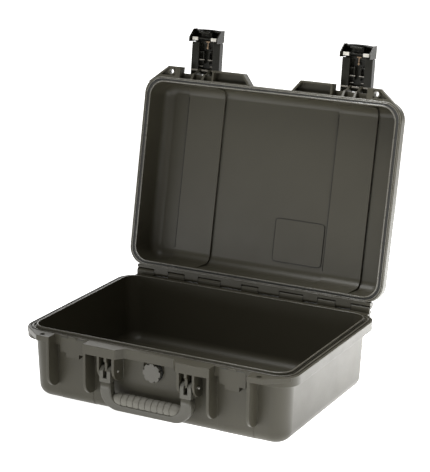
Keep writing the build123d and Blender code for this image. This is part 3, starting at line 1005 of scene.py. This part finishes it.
@dataclass
class LatchTrim(Trim):
    """Ribs, lips and edges on the inner side of a latch, drawn about its pin; the lips and ribs
    are painted lighter as a highlight.
    """

    side: Side
    hinge: Hinge = Hinge()
    centre: float = 136.3
    pin_y: float = -173.0
    pin_z: float = 143.5
    swing: float = 5.0
    lips: tuple[Point, ...] = ((-25.4, -13.0), (-6.4, 6.4), (13.0, 25.4))
    lip_y: Point = (-4.4, -1.8)
    lip_z: Point = (-4.7, -3.2)
    lip_bevel: float = 0.35
    rungs: tuple[tuple[float, float, float, float], ...] = (
        (-12.6, -3.0, -21.5, -1.7),
        (3.4, 13.0, -21.5, -1.7),
        (-13.0, -6.6, -10.2, 1.6),
        (6.6, 13.0, -10.2, 1.6),
    )
    rung_width: float = 1.3
    rung_bevel: float = 0.3
    ledges: tuple[Point, ...] = ((-22.5, -12.0), (12.0, 22.5))
    ledge_y: Point = (-58.5, -53.0)
    ledge_z: Point = (-11.9, -10.8)
    ledge_bevel: float = 0.5
    hood_half: float = 24.2
    hood_end: float = -70.4
    hood_sag: float = 1.5
    hood_edge: float = -1.6
    hood_floor: float = 6.3
    hood_run: float = 8.0
    hood_knee: Point = (0.4, 0.45)
    hood_spans: int = 12

    def build(self) -> None:
        """Make the pieces of this latch."""
        bars = self._row(self.lips, self.lip_y, self.lip_z, self.lip_bevel)
        for start, end, y, z in self.rungs:
            far = (end, y + self.rung_width, z + self.rung_width)
            bars.append(pad((start, y, z), far, self.rung_bevel))
        ledges = self._row(self.ledges, self.ledge_y, self.ledge_z, self.ledge_bevel)
        # Lips and ribs painted lighter than the latch: a painted highlight.
        self._fit_here("latch_lips", merge(bars), "latch", Finish.EDGE)
        self._fit_here("hood_lip", self._hood_lip(), "button", Finish.LATCH)
        self._fit_here("hood_ledges", merge(ledges), "button", Finish.GLINT)

    def _row(self, spans: tuple[Point, ...], deep: Point, high: Point,
             bevel: float) -> list[bmesh.types.BMesh]:
        """Blocks in a row across the latch.

        Args:
            spans: First and last X of each block.
            deep: Their first and last Y.
            high: Their lowest and highest Z.
            bevel: The edges' radius.

        Returns:
            The new meshes.
        """
        return [pad((start, deep[0], high[0]), (end, deep[1], high[1]), bevel)
                for start, end in spans]

    def _hood_lip(self) -> bmesh.types.BMesh:
        """Slope inside the hood, from its outer plate to its curved end.

        Returns:
            The new mesh.
        """
        rings: list[list[Vector]] = []
        knee_y, knee_z = self.hood_run * self.hood_knee[0], self.hood_floor * self.hood_knee[1]
        for step in range(self.hood_spans + 1):
            x = self.hood_half * (2 * step / self.hood_spans - 1)
            end = self.hood_end + self.hood_sag * (x / self.hood_half) ** 2
            rings.append([Vector((x, end, self.hood_edge)), Vector((x, end, self.hood_floor)),
                          Vector((x, end + self.hood_run, self.hood_floor)),
                          Vector((x, end + knee_y, knee_z))])
        return skin(rings, closed=False)

    def _fit_here(self, name: str, mesh: bmesh.types.BMesh, body: str, finish: Finish) -> None:
        """Fit a piece of this latch.

        Args:
            name: The piece's name, without its side.
            mesh: The mesh, drawn about the latch's pin.
            body: The moving part that it belongs to, without its side.
            finish: Its finish.
        """
        to_pin = Matrix.Translation((self.side.value * self.centre, self.pin_y, self.pin_z))
        turn = Matrix.Rotation(math.radians(self.swing), 4, "X")
        self.fit(f"{name}_{self.side.word}", mesh, f"{body}_{self.side.word}", finish,
                 self.hinge.opened() @ to_pin @ turn)


@dataclass
class CarryHandle(Trim):
    """Soft cover of the carrying handle: a bow that widens into a ringed grip."""

    half_width: float = 78.0
    leg_inner: float = 59.4
    top: float = 58.0
    bottom: float = 15.5
    floor: float = 27.0
    outer_bend: float = 30.0
    inner_bend: float = 20.0
    bend_spans: int = 14
    bar_spans: int = 8
    front: float = -178.0
    back: float = -163.5
    edge: float = 3.2
    edge_spans: int = 4
    grip_y: float = -168.0
    grip_z: float = 31.5
    grip_radius: float = 10.45
    grip_half: float = 60.0
    grip_end_radius: float = 7.4
    grip_sides: int = 40
    taper_from: float = 47.5
    taper_spans: int = 6
    ring_pitch: float = 10.4
    ring_count: int = 9
    ring_depth: float = 1.5
    ring_width: float = 0.75
    ring_stations: tuple[float, ...] = (
        -0.5, -0.3, -0.16, -0.072, -0.036, 0.0, 0.036, 0.072, 0.16, 0.3)
    bulge: float = 0.3

    def build(self) -> None:
        """Make the bow, which stands for the plain cover, and the ringed grip."""
        bow = self.fit("handle_bow", self._bow(), "handle", Finish.FORK)
        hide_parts("handle_grip")
        self.fit("handle_rings", self._grip(), "handle", Finish.GRIP)

    def _outline(self, half: float, low: float, bend: float) -> list[Point]:
        """One edge of the bow from the left leg's top to the right leg's top.

        Args:
            half: X of the legs.
            low: Z of the bar.
            bend: Radius of the bends.

        Returns:
            The edge's points in XZ.
        """
        left = arc((-half + bend, low + bend), bend, 180, 270, self.bend_spans)
        right = arc((half - bend, low + bend), bend, 270, 360, self.bend_spans)
        span = right[0][0] - left[-1][0]
        bar = [(left[-1][0] + span * step / self.bar_spans, low)
               for step in range(1, self.bar_spans)]
        return [(-half, self.top), *left, *bar, *right, (half, self.top)]

    def _bow(self) -> bmesh.types.BMesh:
        """Rounded bar that follows the bow.

        Returns:
            The new mesh.
        """
        outer = self._outline(self.half_width, self.bottom, self.outer_bend)
        inner = self._outline(self.leg_inner, self.floor, self.inner_bend)
        middle_y = (self.front + self.back) / 2
        rings: list[list[Vector]] = []
        for (ox, oz), (ix, iz) in zip(outer, inner):
            middle = Vector(((ox + ix) / 2, middle_y, (oz + iz) / 2))
            side = Vector((ox - ix, 0, oz - iz)) / 2
            half = (side.length, (self.back - self.front) / 2)
            loop = rounded_loop(half, self.edge, self.edge_spans)
            rings.append([middle + side.normalized() * a + Vector((0, b, 0)) for a, b in loop])
        return skin(rings, closed=False)

    def _radius(self, x: float) -> float:
        """Radius of the grip: rings with a slight swell between, and ends that meet the bow.

        Args:
            x: Where along the grip.

        Returns:
            The radius there.
        """
        half_span = (self.ring_count - 1) / 2 * self.ring_pitch
        nearest = round(x / self.ring_pitch) * self.ring_pitch
        groove = swell = 0.0
        if abs(x) < half_span + self.ring_pitch / 2:
            groove = max(0.0, 1 - abs(x - nearest) / self.ring_width)
            swell = self.bulge * math.sin(math.pi * (x - nearest) / self.ring_pitch) ** 2
        taper = (abs(x) - self.taper_from) / (self.grip_half - self.taper_from)
        share = min(1.0, max(0.0, taper))
        ease = share * share * (3 - 2 * share)
        full = self.grip_radius - self.bulge + swell - self.ring_depth * groove
        return full + (self.grip_end_radius - self.grip_radius) * ease

    def _grip(self) -> bmesh.types.BMesh:
        """Round grip with rings.

        Returns:
            The new mesh.
        """
        marks = range(-(self.ring_count // 2), self.ring_count // 2 + 1)
        stations = [(mark + offset) * self.ring_pitch
                    for mark in marks for offset in self.ring_stations]
        last = stations[-1]
        ends = [last + (self.grip_half - last) * step / self.taper_spans
                for step in range(1, self.taper_spans + 1)]
        stations = [-x for x in reversed(ends)] + stations + ends
        rings: list[list[Vector]] = []
        for x in stations:
            loop = circle((self.grip_y, self.grip_z), self._radius(x), self.grip_sides)
            rings.append([Vector((x, y, z)) for y, z in loop])
        return skin(rings, closed=False)


def middle_of(bounds: tuple[Vector, Vector]) -> Vector:
    """The centre of a box given by its lowest and highest corners."""
    return (Vector(bounds[0]) + Vector(bounds[1])) / 2


def main() -> None:
    """Build the looks of the case in order and report each piece."""
    logging.basicConfig(level=logging.INFO, format="%(name)s: %(message)s")
    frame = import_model()
    cad_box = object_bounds()
    paint = Paintbox()
    bpy.context.scene.view_settings.view_transform = "Standard"
    CaseBody(frame["nodes"], frame["record"], paint).dress()
    BaseTrim(paint).build()
    LidTrim(paint).build()
    HingeTrim(paint).build()
    for side in Side:
        LatchTrim(paint, side).build()
    CarryHandle(paint).build()
    Studio(middle_of(cad_box)).build()


if __name__ == "__main__":
    main()
